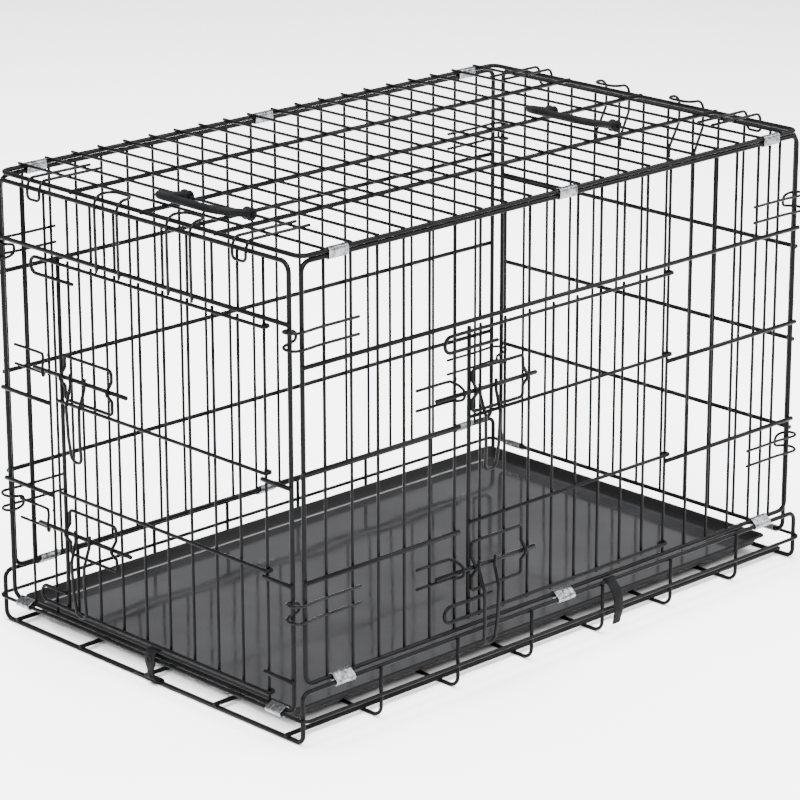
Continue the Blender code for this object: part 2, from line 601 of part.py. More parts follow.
# ---------------------------------------------------------------- carry handles
def build_carry():
    for tag, xc in zip(("left", "right"), CARRY_X):
        ca, sa = math.cos(CARRY_TILT), math.sin(CARRY_TILT)
        y0, y1 = CARRY_Y
        line = [(xc - 3.0 * ca, y0, CROSS_Z + 3.0 * sa), (xc - CARRY_LEN * ca, y0 - 1.0, CROSS_Z + CARRY_LEN * sa),
                (xc - CARRY_LEN * ca, y1 + 1.0, CROSS_Z + CARRY_LEN * sa), (xc - 3.0 * ca, y1, CROSS_Z + 3.0 * sa)]
        ob = wires("grip", [(fillet(line, 17.0, 5), False)], 4.2, 2)
        for k, y in enumerate((y0, y1)):
            boss = plate("boss_%d" % k, [ring(xc, CROSS_Z, 6.4, 12)], 5.5, "y", (0, y, 0))
            combine(ob, boss)
        bore = plate("bore", [ring(xc, CROSS_Z, R_FILL + GAP + 0.2, 10)], 60.0, "y", (0, 0.5 * (y0 + y1), 0))
        combine(ob, bore, "DIFFERENCE")
        finish(ob, "carry_handle_" + tag, "handle_plastic", (xc, 0.5 * (y0 + y1), CROSS_Z))


# ---------------------------------------------------------------- tray stops
def strip_outline(line, thick):
    """Outline of a bent strip of even thickness along a polyline."""
    left, right = [], []
    n = len(line)
    for i in range(n):
        p = Vector(line[i])
        d0 = (p - Vector(line[i - 1])).normalized() if i else None
        d1 = (Vector(line[i + 1]) - p).normalized() if i < n - 1 else None
        d = (d0 or d1) + (d1 or d0)
        d.normalize()
        nrm = Vector((-d.y, d.x))
        k = 1.0 / max(0.5, nrm.dot(Vector((-(d1 or d0).y, (d1 or d0).x))))
        left.append(tuple(p + nrm * thick / 2 * k))
        right.append(tuple(p - nrm * thick / 2 * k))
    return left + right[::-1]


def build_stops():
    # end stop: half ring over the floor rail, strap outside the mid rail, lip over both hinge wires
    cx, cz = -BASE_X, 2.5
    arc = ring(cx, cz, R_FRAME + 0.4 + 1.0, 6, math.radians(-20), math.radians(150), False)
    line = arc + [(-390.6, 8.0), (-391.0, 20.0), (-391.0, 29.0), (-389.4, 33.9), (-386.0, 35.0), (-380.0, 35.0)]
    ob = plate("stop", [strip_outline(line, 2.0)], 7.0, "y", (0, -14.0, 0))
    for s in (-1, 1):
        waist = wires("waist", [([(-400.0, -14.0 + s * 12.6, 17.5), (-385.5, -14.0 + s * 12.6, 17.5)], False)], 8.0, 3)
        combine(ob, waist, "DIFFERENCE")
    finish(ob, "tray_stop_left", "handle_plastic", (cx, -14.0, cz))
    # front stop: ring round the base top rail with a flap down outside the mid rail
    cy, cz = -BASE_Y, BASE_Z
    arc = ring(cy, cz, R_FRAME + 0.4 + 0.7, 9, math.radians(-75), math.radians(195), False)
    line = arc + [(-251.6, 50.0), (-253.0, 40.0), (-253.2, 22.0), (-252.0, 10.0)]
    ob = plate("flap", [strip_outline(line, 1.4)], 7.0, "x", (70.0, 0, 0))
    finish(ob, "tray_stop_front", "handle_plastic", (70.0, cy, cz))


build_base()
build_front_side()
build_back_side()
build_top()
build_end(True)
build_end(False)
build_front_door()
build_left_door()
build_latches()
build_clips()
build_hooks()
build_tray()
build_carry()
build_stops()

for ob in MADE.values():
    ob.location.x += SHIFT_X * MM
    ob.location.y += SHIFT_Y * MM
for ob in CUTS.objects:
    ob.location.x += SHIFT_X * MM
    ob.location.y += SHIFT_Y * MM
bpy.context.view_layer.update()
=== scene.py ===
"""Looks of a folding wire pet crate: powder-coated wire panels, two latched doors, a plastic tray,
crimped zinc ferrules, carry handles and tray stops. Lengths in the tables below are millimetres."""

import json
import math

import bpy
import numpy as np
from mathutils import Matrix, Vector

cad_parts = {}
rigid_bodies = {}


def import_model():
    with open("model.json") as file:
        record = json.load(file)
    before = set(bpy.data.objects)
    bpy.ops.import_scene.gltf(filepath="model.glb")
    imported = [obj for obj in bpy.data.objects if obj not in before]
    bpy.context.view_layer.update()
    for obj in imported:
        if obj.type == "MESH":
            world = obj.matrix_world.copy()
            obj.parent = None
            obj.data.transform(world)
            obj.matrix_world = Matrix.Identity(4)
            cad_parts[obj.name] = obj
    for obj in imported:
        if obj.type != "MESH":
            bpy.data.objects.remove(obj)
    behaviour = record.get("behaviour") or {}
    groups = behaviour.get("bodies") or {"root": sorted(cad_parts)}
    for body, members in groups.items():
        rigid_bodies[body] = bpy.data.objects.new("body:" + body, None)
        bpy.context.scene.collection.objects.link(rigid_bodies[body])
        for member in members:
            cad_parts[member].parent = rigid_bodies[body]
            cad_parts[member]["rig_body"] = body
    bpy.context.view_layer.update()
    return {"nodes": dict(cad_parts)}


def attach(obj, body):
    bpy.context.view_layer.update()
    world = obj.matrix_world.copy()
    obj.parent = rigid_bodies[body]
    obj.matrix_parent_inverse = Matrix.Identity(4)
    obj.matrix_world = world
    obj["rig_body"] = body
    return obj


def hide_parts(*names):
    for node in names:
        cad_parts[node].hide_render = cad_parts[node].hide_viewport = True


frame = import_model()
NODES = frame["nodes"]

# ---------------------------------------------------------------- driving sizes, as in the CAD model
R_FRAME, R_FILL, R_RAIL, R_GUIDE, R_ROD = 2.5, 1.6, 2.0, 1.8, 2.4
GAP = 0.3
SIDE_X, SIDE_Y, SIDE_Z0, SIDE_Z1 = 373.0, 236.5, 61.5, 502.8
TOP_Z, CROSS_Z, TOP_LONG_Y = 508.1, 511.1, 114.0
END_X, END_Y, END_Z0, END_Z1 = 381.5, 228.0, 31.0, 498.0
END_HEAD = 503.0       # the ends spring up until their top rail meets the top panel
BASE_X, BASE_Y, BASE_Z = 383.0, 242.6, 56.5
U_Y = 246.2
MID_X, MID_Y, MID_Z, MID_R = 387.0, 249.5, 28.2, 9.5
LONG_Z, LONG_END = 5.8, 386.5
FILL_X = [(k - 10.5) * 36.19 for k in range(1, 21)]
FILL_Y = [(k - 6) * 38.17 for k in range(1, 12)]
CORNER_R = 11.0
SIDE_BARS = [172.0, 285.0, 397.0]
RIGHT_BARS = [156.5, 262.0, 371.0]
LEFT_TOP_BAR = 441.0
FD_HINGE, FD_FIX, FD_OUT = FILL_X[14], FILL_X[5], SIDE_Y + 4.0
FD_RAILS = [74.5, 178.7, 294.0, 386.0]
FD_EDGE, FD_TIP, FD_STUBS = -143.0, -181.0, [172.0, 287.0]
LD_HINGE, LD_FIX, LD_OUT = FILL_Y[0], FILL_Y[9], END_X + 4.0
LD_RAILS = [44.0, 175.7, 279.2, 431.0]
LD_EDGE, LD_TIP, LD_STUBS = 131.5, 173.0, [66.0, 169.0, 272.5]
ROD_OUT = 6.1
HANDLE_OUT = ROD_OUT + R_ROD + GAP + R_GUIDE
FRONT_LATCH = [(322.0, 298.6, 344.0), (128.5, 102.0, 156.0)]
LEFT_LATCH = [(309.0, 283.8, 332.0), (134.0, 110.0, 160.0)]
FRONT_ROD, FRONT_GUIDE, FRONT_LEGS = (-196.0, -49.0), (-141.4, -67.0), (-136.8, -113.8)
LEFT_ROD, LEFT_GUIDE, LEFT_LEGS = (171.0, 17.0), (121.0, 44.0), (103.6, 80.6)
CLIP_X, CLIP_Y, CLIP_HALF, CLIP_END_HALF = [-325.7, 0.0, 325.7], 204.6, 13.0, 11.4
CLIP_IN, CLIP_OUT = 3.0, 3.9
TRAY_X, TRAY_Y, TRAY_AT = 368.0, 225.0, (6.0, 14.5)
TRAY_Z0, TRAY_Z1 = 8.9, 23.5
CARRY_X, CARRY_Y, CARRY_LEN, CARRY_TILT = [FILL_X[1], FILL_X[16]], (9.5, -87.5), 47.0, math.radians(14.3)
SHIFT = Vector((1.89, 1.205, 0.0))
LAP = 3.9              # the thick bars are welded on the outer face of the uprights


# ---------------------------------------------------------------- mesh building
class Shape:
    """Vertices and faces of one piece, in millimetres."""

    def __init__(self):
        self.v, self.f = [], []

    def add(self, verts, faces):
        n = len(self.v)
        self.v.extend([tuple(p) for p in verts])
        self.f.extend([tuple(i + n for i in f) for f in faces])

    def loft(self, rings, closed=False, caps=True):
        """Quads between rings of equal length."""
        m = len(rings[0])
        verts = [p for r in rings for p in r]
        faces = []
        n = len(rings)
        for i in range(n if closed else n - 1):
            a, b = i * m, ((i + 1) % n) * m
            for k in range(m):
                kk = (k + 1) % m
                faces.append((a + k, a + kk, b + kk, b + k))
        if caps and not closed:
            faces.append(tuple(range(m))[::-1])
            faces.append(tuple((n - 1) * m + k for k in range(m)))
        self.add(verts, faces)

    def tube(self, points, radius, sides=12, closed=False, radii=None):
        """A round wire along a path, with rounded ends."""
        pts = [np.array(p, float) for p in points]
        if radii is None:
            radii = [radius] * len(pts)
        if not closed:
            d0 = pts[1] - pts[0]
            d1 = pts[-2] - pts[-1]
            d0 /= np.linalg.norm(d0)
            d1 /= np.linalg.norm(d1)
            r0, r1 = radii[0], radii[-1]
            pts = [pts[0], pts[0] + d0 * 0.1 * r0, pts[0] + d0 * 0.35 * r0] + pts[1:-1] + [
                pts[-1] + d1 * 0.35 * r1, pts[-1] + d1 * 0.1 * r1, pts[-1]]
            radii = [0.6 * r0, 0.86 * r0, r0] + list(radii[1:-1]) + [r1, 0.86 * r1, 0.6 * r1]
        n = len(pts)
        tans = []
        for i in range(n):
            a = pts[i - 1] if (closed or i) else pts[0]
            b = pts[(i + 1) % n] if (closed or i < n - 1) else pts[-1]
            u, w = pts[i] - a, b - pts[i]
            lu, lw = np.linalg.norm(u), np.linalg.norm(w)
            t = (u / lu if lu > 1e-9 else 0) + (w / lw if lw > 1e-9 else 0)
            tans.append(t / np.linalg.norm(t))
        ref = np.array((0, 0, 1.0)) if abs(tans[0][2]) < 0.9 else np.array((1.0, 0, 0))
        nrm = np.cross(tans[0], ref)
        nrm /= np.linalg.norm(nrm)
        frames = [nrm]
        for i in range(1, n):
            v = frames[-1] - tans[i] * np.dot(frames[-1], tans[i])
            frames.append(v / np.linalg.norm(v))
        twist = 0.0
        if closed:
            v = frames[-1] - tans[0] * np.dot(frames[-1], tans[0])
            v /= np.linalg.norm(v)
            twist = math.atan2(np.dot(np.cross(v, frames[0]), tans[0]), np.dot(v, frames[0]))
        rings = []
        for i in range(n):
            a = frames[i]
            b = np.cross(tans[i], a)
            off = twist * i / n
            rings.append([pts[i] + radii[i] * (a * math.cos(off + 2 * math.pi * k / sides) + b * math.sin(off + 2 * math.pi * k / sides))
                          for k in range(sides)])
        self.loft(rings, closed=closed)

    def blob(self, centre, size):
        """A weld nugget: a small flattened ball."""
        c = Vector(centre)
        rings, m = [], 8
        for j in range(1, 4):
            a = math.pi * j / 4
            rings.append([(c.x + size[0] * math.sin(a) * math.cos(2 * math.pi * k / m), c.y + size[1] * math.sin(a) * math.sin(2 * math.pi * k / m),
                           c.z + size[2] * math.cos(a)) for k in range(m)])
        verts = [p for r in rings for p in r] + [(c.x, c.y, c.z + size[2]), (c.x, c.y, c.z - size[2])]
        faces = []
        for i in range(2):
            for k in range(m):
                kk = (k + 1) % m
                faces.append((i * m + k, (i + 1) * m + k, (i + 1) * m + kk, i * m + kk))
        for k in range(m):
            kk = (k + 1) % m
            faces.append((3 * m, k, kk))
            faces.append((3 * m + 1, 2 * m + kk, 2 * m + k))
        self.add(verts, faces)


def fillet(points, radius, steps=8, closed=False):
    """Rounds the corners of a polyline with arcs."""
    pts = [Vector(p) for p in points]
    n = len(pts)
    out = []
    for i, p in enumerate(pts):
        if not closed and i in (0, n - 1):
            out.append(p)
            continue
        a, b = pts[i - 1] - p, pts[(i + 1) % n] - p
        la, lb = a.length, b.length
        a.normalize()
        b.normalize()
        ang = a.angle(b)
        if ang > math.radians(177):
            out.append(p)
            continue
        t = min(radius / math.tan(ang / 2), 0.48 * la, 0.48 * lb)
        r = t * math.tan(ang / 2)
        c = p + (a + b).normalized() * (r / math.sin(ang / 2))
        s, e = p + a * t - c, p + b * t - c
        sweep = s.angle(e)
        for k in range(steps + 1):
            f = k / steps
            out.append(c + (s * math.sin((1 - f) * sweep) + e * math.sin(f * sweep)) / math.sin(sweep))
    return out


def smooth(points, per=6):
    """A curve through the given points."""
    p = [Vector(q) for q in points]
    p = [p[0] * 2 - p[1]] + p + [p[-1] * 2 - p[-2]]
    out = []
    for i in range(1, len(p) - 2):
        for k in range(per):
            t = k / per
            out.append(0.5 * ((2 * p[i]) + (p[i + 1] - p[i - 1]) * t + (2 * p[i - 1] - 5 * p[i] + 4 * p[i + 1] - p[i + 2]) * t * t
                              + (3 * p[i] - p[i - 1] - 3 * p[i + 1] + p[i + 2]) * t ** 3))
    out.append(p[-2])
    return out


# ---------------------------------------------------------------- materials
def new_material(name, colour, rough, metal=0.0):
    m = bpy.data.materials.new(name)
    m.use_nodes = True
    nt = m.node_tree
    bsdf = nt.nodes["Principled BSDF"]
    bsdf.inputs["Base Color"].default_value = (*colour, 1.0)
    bsdf.inputs["Roughness"].default_value = rough
    bsdf.inputs["Metallic"].default_value = metal
    return m, nt, bsdf


def noise(nt, coord, scale, detail=3.0, rough=0.5, stretch=None):
    src = coord
    if stretch:
        mp = nt.nodes.new("ShaderNodeMapping")
        mp.inputs["Scale"].default_value = stretch
        nt.links.new(coord, mp.inputs["Vector"])
        src = mp.outputs["Vector"]
    nz = nt.nodes.new("ShaderNodeTexNoise")
    nz.inputs["Scale"].default_value = scale
    nz.inputs["Detail"].default_value = detail
    nz.inputs["Roughness"].default_value = rough
    nt.links.new(src, nz.inputs["Vector"])
    return nz.outputs["Fac"]


def span(nt, value, lo, hi, a=0.3, b=0.7):
    mr = nt.nodes.new("ShaderNodeMapRange")
    mr.inputs["From Min"].default_value = a
    mr.inputs["From Max"].default_value = b
    mr.inputs["To Min"].default_value = lo
    mr.inputs["To Max"].default_value = hi
    nt.links.new(value, mr.inputs["Value"])
    return mr.outputs["Result"]


def tint(nt, value, lo, hi, a=0.3, b=0.7):
    cr = nt.nodes.new("ShaderNodeValToRGB")
    cr.color_ramp.elements[0].position = a
    cr.color_ramp.elements[1].position = b
    cr.color_ramp.elements[0].color = (*lo, 1.0)
    cr.color_ramp.elements[1].color = (*hi, 1.0)
    nt.links.new(value, cr.inputs["Fac"])
    return cr.outputs["Color"]


def bump(nt, bsdf, heights):
    """Chains bumps; each is (value, distance in metres, strength)."""
    last = None
    for value, dist, strength in heights:
        bp = nt.nodes.new("ShaderNodeBump")
        bp.inputs["Distance"].default_value = dist
        bp.inputs["Strength"].default_value = strength
        nt.links.new(value, bp.inputs["Height"])
        if last:
            nt.links.new(last, bp.inputs["Normal"])
        last = bp.outputs["Normal"]
    nt.links.new(last, bsdf.inputs["Normal"])


def coords(nt):
    return nt.nodes.new("ShaderNodeTexCoord").outputs["Object"]


def coated_wire(name, lo, hi, r0, r1, coat):
    """Powder coat: orange peel, soft gloss with slight patches, a little thinner colour in places."""
    m, nt, b = new_material(name, hi, r0)
    c = coords(nt)
    nt.links.new(tint(nt, noise(nt, c, 38.0, 4.0, 0.6), lo, hi), b.inputs["Base Color"])
    nt.links.new(span(nt, noise(nt, c, 130.0, 3.0), r0, r1), b.inputs["Roughness"])
    bump(nt, b, [(noise(nt, c, 1150.0, 2.0), 0.00012, 0.35), (noise(nt, c, 260.0, 2.0), 0.0002, 0.25)])
    b.inputs["Specular IOR Level"].default_value = 0.03
    b.inputs["Coat Weight"].default_value = coat
    b.inputs["Coat Roughness"].default_value = 0.22
    return m


M_WIRE = coated_wire("black_powder_coat", (0.0022, 0.0022, 0.0024), (0.005, 0.005, 0.0053), 0.3, 0.42, 0.05)
M_ROD = coated_wire("black_bolt_coat", (0.0025, 0.0025, 0.0027), (0.0055, 0.0055, 0.0058), 0.26, 0.36, 0.08)
M_HOOK = coated_wire("black_spring_wire", (0.0025, 0.0025, 0.0027), (0.006, 0.006, 0.0063), 0.22, 0.3, 0.1)


def zinc():
    m, nt, b = new_material("zinc_ferrule", (0.62, 0.63, 0.65), 0.34, 1.0)
    c = coords(nt)
    nt.links.new(tint(nt, noise(nt, c, 220.0, 4.0, 0.62), (0.09, 0.092, 0.097), (0.34, 0.345, 0.355), 0.36, 0.62), b.inputs["Base Color"])
    nt.links.new(span(nt, noise(nt, c, 700.0, 3.0), 0.3, 0.5), b.inputs["Roughness"])
    bump(nt, b, [(noise(nt, c, 900.0, 3.0, 0.6, (0.25, 1.0, 1.0)), 0.00012, 0.3), (noise(nt, c, 240.0, 2.0), 0.0005, 0.4)])
    return m


def tray_plastic():
    m, nt, b = new_material("tray_black_plastic", (0.03, 0.03, 0.032), 0.2)
    c = coords(nt)
    # the floor is polished by the mould, the walls and the rim are matt; the walls and the rim also get a darker base
    # colour, which is painted shade
    tc = nt.nodes.new("ShaderNodeTexCoord")
    sep = nt.nodes.new("ShaderNodeSeparateXYZ")
    nt.links.new(tc.outputs["Object"], sep.inputs[0])
    wall = nt.nodes.new("ShaderNodeMapRange")
    nt.links.new(sep.outputs["Z"], wall.inputs["Value"])
    wall.inputs["From Min"].default_value = 0.0110
    wall.inputs["From Max"].default_value = 0.0130
    painted_wall_shade_mix = nt.nodes.new("ShaderNodeMix")
    painted_wall_shade_mix.data_type = "RGBA"
    nt.links.new(wall.outputs["Result"], painted_wall_shade_mix.inputs[0])
    nt.links.new(tint(nt, noise(nt, c, 9.0, 5.0, 0.6), (0.008, 0.008, 0.0086), (0.014, 0.014, 0.0148)), painted_wall_shade_mix.inputs[6])
    # painted shade: near-black base colour on the walls and the rim, above the floor's height
    painted_wall_shade_mix.inputs[7].default_value = (0.002, 0.002, 0.0022, 1.0)
    nt.links.new(painted_wall_shade_mix.outputs[2], b.inputs["Base Color"])
    mr = nt.nodes.new("ShaderNodeMix")
    nt.links.new(wall.outputs["Result"], mr.inputs[0])
    nt.links.new(span(nt, noise(nt, c, 26.0, 4.0), 0.05, 0.13), mr.inputs[2])
    mr.inputs[3].default_value = 0.78
    nt.links.new(mr.outputs[0], b.inputs["Roughness"])
    bump(nt, b, [(noise(nt, c, 1.6, 1.0, 0.4), 0.02, 0.22), (noise(nt, c, 7.0, 2.0, 0.4), 0.003, 0.18), (noise(nt, c, 420.0, 2.0), 0.00004, 0.05)])
    b.inputs["Specular IOR Level"].default_value = 0.33
    return m


def handle_plastic():
    m, nt, b = new_material("handle_black_plastic", (0.02, 0.02, 0.0215), 0.42)
    c = coords(nt)
    nt.links.new(tint(nt, noise(nt, c, 60.0, 4.0, 0.55), (0.003, 0.003, 0.0033), (0.0065, 0.0065, 0.007)), b.inputs["Base Color"])
    nt.links.new(span(nt, noise(nt, c, 150.0, 3.0), 0.5, 0.66), b.inputs["Roughness"])
    bump(nt, b, [(noise(nt, c, 1900.0, 2.0), 0.0001, 0.35), (noise(nt, c, 90.0, 2.0), 0.0004, 0.12)])
    b.inputs["Specular IOR Level"].default_value = 0.05
    return m


M_ZINC, M_TRAY, M_HANDLE = zinc(), tray_plastic(), handle_plastic()


def put(name, shape, mat, nodes, flat_caps=True):
    """Turns a shape into the piece that stands for the given CAD nodes, riding where they ride."""
    me = bpy.data.meshes.new(name)
    me.from_pydata([((x + SHIFT.x) / 1000, (y + SHIFT.y) / 1000, z / 1000) for x, y, z in shape.v], [], shape.f)
    me.update()
    me.polygons.foreach_set("use_smooth", [True] * len(me.polygons))
    me.materials.append(mat)
    ob = bpy.data.objects.new(name, me)
    bpy.context.scene.collection.objects.link(ob)
    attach(ob, NODES[nodes[0]]["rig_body"])
    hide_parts(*nodes)
    return ob


# ---------------------------------------------------------------- base basket
def rect_x(y, x, z0, z1):
    return [(-x, y, z0), (x, y, z0), (x, y, z1), (-x, y, z1)]


def rect_y(x, y, z0, z1):
    return [(x, -y, z0), (x, y, z0), (x, y, z1), (x, -y, z1)]


def build_base():
    s = Shape()
    u_x = [(k - 2.5) * 111.1 for k in range(6)]
    for sg in (-1, 1):
        # corner legs and top rail are one bent wire; it ends on the floor rails
        hoop = [(-BASE_X, sg * 20, 2.5), (-BASE_X, sg * BASE_Y, 2.5), (-BASE_X, sg * BASE_Y, BASE_Z),
                (BASE_X, sg * BASE_Y, BASE_Z), (BASE_X, sg * BASE_Y, 2.5), (BASE_X, sg * 20, 2.5)]
        s.tube(fillet(hoop, 9.0, 8), R_FRAME, 14)
        for x in u_x:
            s.blob((x, sg * (BASE_Y + 1.6), BASE_Z), (2.1, 1.5, 2.4))
            s.blob((x, sg * (MID_Y - 1.6), MID_Z), (2.2, 1.2, 2.0))
        for x in (-BASE_X, BASE_X):
            s.blob((x + (2.6 if x > 0 else -2.6), sg * (BASE_Y - 4.0), MID_Z), (1.4, 2.0, 2.2))
    for x in (-BASE_X, BASE_X):
        s.tube([(x, -24, 2.5), (x, 24, 2.5)], R_FRAME, 14)
    mid = [(-MID_X, -MID_Y, MID_Z), (MID_X, -MID_Y, MID_Z), (MID_X, MID_Y, MID_Z), (-MID_X, MID_Y, MID_Z)]
    s.tube(fillet(mid, MID_R, 8, True), R_RAIL, 14, closed=True)
    for x in u_x:
        line = [(x, -U_Y, BASE_Z + 1.0), (x, -U_Y, R_RAIL), (x, U_Y, R_RAIL), (x, U_Y, BASE_Z + 1.0)]
        s.tube(fillet(line, 12.0, 8), R_RAIL, 12)
    for y in (-220, -110, 0, 110, 220):
        s.tube([(-LONG_END, y, LONG_Z), (LONG_END, y, LONG_Z)], R_FRAME, 14)
        for x in u_x:
            s.blob((x, y, 3.9), (2.4, 3.0, 1.3))
        for x in (-BASE_X, BASE_X):
            s.blob((x, y, 4.2), (2.8, 2.8, 1.4))
    put("base_basket", s, M_WIRE, ["base_floor_grid", "base_front_wall", "base_back_wall", "base_left_rail", "base_right_rail"])


# ---------------------------------------------------------------- side panels
def keeper(base, out, y_sign, tip, z, run, sgn):
    """Closed bow round the bolt: legs on the fixed uprights, bow in front of the rod. run maps (along, out, z)."""
    a0 = tip - sgn * 58.5
    pts = [(a0, 2.0, z + 16.0), (tip - sgn * 16.0, 2.0, z + 16.0), (tip - sgn * 9.0, 3.2, z + 15.0), (tip - sgn * 3.4, 6.8, z + 11.4),
           (tip + sgn * 0.2, 10.6, z + 6.6), (tip + sgn * 1.2, 12.0, z + 1.0), (tip + sgn * 0.4, 10.9, z - 3.6),
           (tip - sgn * 2.4, 7.6, z - 5.5), (tip - sgn * 7.0, 3.6, z - 5.6), (tip - sgn * 13.0, 2.0, z - 5.5), (a0, 2.0, z - 5.4)]
    return [run(*p) for p in smooth(pts, 5)]


def front_at(a, o, z):
    return (a, -(SIDE_Y + o), z)


def left_at(a, o, z):
    return (-(END_X + o), a, z)


def build_front_side():
    s = Shape()
    y = -SIDE_Y
    yb = y - LAP
    tip = SIDE_X + 3.4
    s.tube(fillet(rect_x(y, SIDE_X, SIDE_Z0, SIDE_Z1), CORNER_R, 8, True), R_FRAME, 14, closed=True)
    s.tube([(-tip, yb, SIDE_BARS[2]), (tip, yb, SIDE_BARS[2])], R_FRAME, 14)
    for z in FD_STUBS:
        s.tube([(-tip, yb, z), (FD_FIX + 3.4, yb, z)], R_FRAME, 14)
    for z in (172.0, 287.0):
        s.tube([(FD_HINGE - 3.0, yb, z), (tip, yb, z)], R_FRAME, 14)
    for x in FILL_X:
        low = SIDE_BARS[2] - 4.0 if FD_FIX + 1 < x < FD_HINGE - 1 else SIDE_Z0 - 1.4
        s.tube([(x, y, low), (x, y, SIDE_Z1 + 1.4)], R_FILL, 10)
        s.blob((x, yb + 2.2, SIDE_BARS[2]), (2.0, 1.2, 2.2))
        s.blob((x, y - 0.6, SIDE_Z1), (2.1, 2.2, 2.5))
        if low < 100:
            s.blob((x, y - 0.6, SIDE_Z0), (2.1, 2.2, 2.5))
            for z in FD_STUBS:
                s.blob((x, yb + 2.2, z), (2.0, 1.2, 2.2))
    for z in [SIDE_BARS[2]] + FD_STUBS:
        for sg in (-1, 1):
            s.blob((sg * SIDE_X, yb + 1.6, z), (2.6, 1.5, 2.6))
    for z, _, _ in FRONT_LATCH:
        s.tube(keeper(None, None, -1, -161.5, z, front_at, 1), R_FILL, 10)
        for x in (FILL_X[4], FILL_X[5]):
            s.blob((x, y - 1.2, z + 16.0), (1.9, 1.2, 1.8))
            s.blob((x, y - 1.2, z - 5.4), (1.9, 1.2, 1.8))
    put("front_side", s, M_WIRE, ["front_side_latch_part", "front_side_hinge_part", "front_side_top_part", "front_side_sill"])


def build_back_side():
    s = Shape()
    y = SIDE_Y
    yb = y + LAP
    tip = SIDE_X + 3.4
    s.tube(fillet(rect_x(y, SIDE_X, SIDE_Z0, SIDE_Z1), CORNER_R, 8, True), R_FRAME, 14, closed=True)
    for z in SIDE_BARS:
        s.tube([(-tip, yb, z), (tip, yb, z)], R_FRAME, 14)
        for x in [-SIDE_X] + FILL_X + [SIDE_X]:
            s.blob((x, yb - 2.2, z), (2.0, 1.2, 2.2))
    for x in FILL_X:
        s.tube([(x, y, SIDE_Z0 - 1.4), (x, y, SIDE_Z1 + 1.4)], R_FILL, 10)
        for z in (SIDE_Z0, SIDE_Z1):
            s.blob((x, y + 0.6, z), (2.1, 2.2, 2.5))
    put("back_side", s, M_WIRE, ["back_side_panel"])


def build_top():
    s = Shape()
    rect = [(-SIDE_X, -SIDE_Y, TOP_Z), (SIDE_X, -SIDE_Y, TOP_Z), (SIDE_X, SIDE_Y, TOP_Z), (-SIDE_X, SIDE_Y, TOP_Z)]
    s.tube(fillet(rect, CORNER_R, 8, True), R_FRAME, 14, closed=True)
    for y in (-TOP_LONG_Y, 0.0, TOP_LONG_Y):
        s.tube([(-SIDE_X - 4.5, y, TOP_Z + 0.4), (SIDE_X + 4.5, y, TOP_Z + 0.4)], R_FRAME, 14)
    for x in FILL_X:
        s.tube([(x, -SIDE_Y - 2.2, CROSS_Z), (x, SIDE_Y + 5.5, CROSS_Z)], R_FILL, 10)
        for y in (-SIDE_Y, -TOP_LONG_Y, 0.0, TOP_LONG_Y, SIDE_Y):
            s.blob((x, y, TOP_Z + 1.9), (2.1, 2.4, 1.2))
    put("top_grille", s, M_WIRE, ["top_panel"])


def build_end(left):
    s = Shape()
    sg = -1 if left else 1
    x = sg * END_X
    xb = x + sg * LAP
    s.tube(fillet(rect_y(x, END_Y, END_Z0, END_HEAD), CORNER_R, 8, True), R_FRAME, 14, closed=True)
    tip = END_Y + 3.4
    bars = []
    if left:
        bars.append((-tip, tip, LEFT_TOP_BAR))
        for z in LD_STUBS:
            bars.append((-tip, LD_HINGE + 3.0, z))
            if z > 100:
                bars.append((LD_FIX - 3.4, tip, z))
    else:
        bars = [(-tip, tip, z) for z in RIGHT_BARS]
    for a, b, z in bars:
        s.tube([(xb, a, z), (xb, b, z)], R_FRAME, 14)
        for y in [-END_Y] + FILL_Y + [END_Y]:
            if a <= y <= b:
                s.blob((xb - sg * 2.2, y, z), (1.2, 2.0, 2.2))
    for y in FILL_Y:
        low = LEFT_TOP_BAR - 4.0 if left and LD_HINGE + 1 < y < LD_FIX - 1 else END_Z0 - 1.4
        line = [(x, y, low), (x, y, END_HEAD + 1.4)]
        s.tube(line, R_FILL, 10)
        s.blob((x + sg * 0.6, y, END_HEAD), (2.2, 2.1, 2.5))
        if low < 100:
            s.blob((x + sg * 0.6, y, END_Z0), (2.2, 2.1, 2.5))
    if left:
        for z, _, _ in LEFT_LATCH:
            s.tube(keeper(None, None, -1, 150.6, z, left_at, -1), R_FILL, 10)
            for y in (FILL_Y[9], FILL_Y[10]):
                s.blob((x - 1.2, y, z + 16.0), (1.2, 1.9, 1.8))
                s.blob((x - 1.2, y, z - 5.4), (1.2, 1.9, 1.8))
    put("left_end" if left else "right_end", s, M_WIRE, ["left_end_panel" if left else "right_end_panel"])


# ---------------------------------------------------------------- doors
def hairpin(end, tip, z_rail, z_leg):
    zc, h = 0.5 * (z_rail + z_leg), abs(z_rail - z_leg) / 2
    sgn = -1.0 if tip < end else 1.0
    pts = [(end, z_leg)]
    for k in range(13):
        a = math.pi * k / 12
        pts.append((tip - sgn * h + sgn * h * math.sin(a), zc + (z_leg - zc) * math.cos(a)))
    return pts


